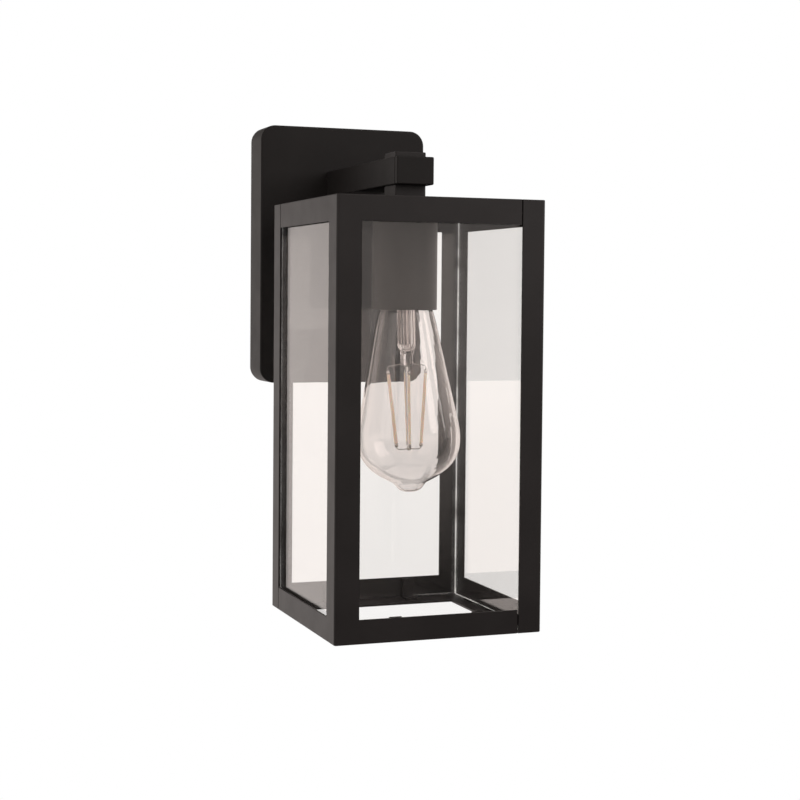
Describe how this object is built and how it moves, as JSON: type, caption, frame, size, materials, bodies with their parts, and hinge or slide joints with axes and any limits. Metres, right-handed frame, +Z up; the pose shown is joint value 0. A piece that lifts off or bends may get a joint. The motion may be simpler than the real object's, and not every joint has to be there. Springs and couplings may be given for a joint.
{
  "type": "outdoor wall lantern",
  "caption": "Square glazed box lantern in black folded steel, hung from a short arm on a rounded wall plate, open below, with a clear filament lamp in a round cup.",
  "frame": {"origin": "centre of the wall plate on the wall plane", "axes": "+Z up, +Y into the wall, the lantern's front looks along -Y"},
  "size_m": [0.13, 0.2115, 0.315],
  "materials": {
    "black_coat": "matt black powder coat, fine texture",
    "cup_coat": "satin charcoal coat",
    "black_screw": "black oxide",
    "rubber": "soft matt",
    "zinc_steel": "bright zinc plate",
    "brass": "plain",
    "tinned_copper": "tinned",
    "white_nylon": "moulded nylon",
    "porcelain": "glazed white",
    "pane_glass": "clear float glass, ground edges",
    "lamp_glass": "clear blown glass",
    "nickel": "nickel plate",
    "black_glaze": "black glass",
    "solder": "dull solder",
    "phosphor": "amber phosphor coat",
    "brown_sleeve": "silicone sleeve",
    "blue_sleeve": "silicone sleeve",
    "green_sleeve": "green and yellow silicone sleeve"
  },
  "bodies": {
    "lantern": {"canopy_shell": "black_coat", "canopy_screws": "black_screw", "wall_gasket": "rubber", "mounting_plate": "zinc_steel", "mounting_ears": "zinc_steel", "cable_grommet": "rubber", "terminal_block": "white_nylon", "terminal_sleeves": "brass", "terminal_screws": "zinc_steel", "terminal_block_screws": "zinc_steel", "earth_screw": "brass", "earth_washer": "brass", "earth_ring": "tinned_copper", "arm_tube": "black_coat", "arm_end_cap": "black_coat", "arm_rear_plug": "zinc_steel", "arm_nipple": "zinc_steel", "arm_lock_washer": "zinc_steel", "arm_lock_nut": "zinc_steel", "neck_post": "black_coat", "neck_top_plug": "black_coat", "neck_foot_plug": "zinc_steel", "front_left_frame": "black_coat", "back_right_frame": "black_coat", "seam_straps": "black_coat", "roof_pan": "black_coat", "front_pane": "pane_glass", "back_pane": "pane_glass", "left_pane": "pane_glass", "right_pane": "pane_glass", "glass_pads": "rubber", "glass_tabs": "black_coat", "roof_seal": "rubber", "holder_cup": "cup_coat", "holder_lock_washer": "zinc_steel", "holder_lock_nut": "zinc_steel", "roof_nipple": "zinc_steel", "holder_body": "porcelain", "holder_shell": "brass", "holder_contact": "brass", "holder_terminals": "brass", "holder_terminal_screws": "zinc_steel", "live_wire": "brown_sleeve", "neutral_wire": "blue_sleeve", "earth_wire": "green_sleeve"},
    "bulb_carrier": {"bulb_contact": "solder"},
    "bulb": {"bulb_glass": "lamp_glass", "bulb_cap": "nickel", "bulb_insulator": "black_glaze", "bulb_stem": "lamp_glass", "bulb_filaments": "phosphor", "bulb_leads": "nickel"}
  },
  "joints": [
    {"name": "bulb_travel", "type": "slide", "parent": "lantern", "child": "bulb_carrier", "axis": [0.0349, 0, -0.9994], "range_m": [0, 0.022]},
    {"name": "bulb_turn", "type": "hinge", "parent": "bulb_carrier", "child": "bulb", "pos_m": [0, -0.1465, -0.0165], "axis": [0.0349, 0, -0.9994], "range_deg": [0, 2160]}
  ],
  "couplings": [
    {"joint": "bulb_travel", "follows": "bulb_turn", "m_per_rad": 0.00057757}
  ]
}
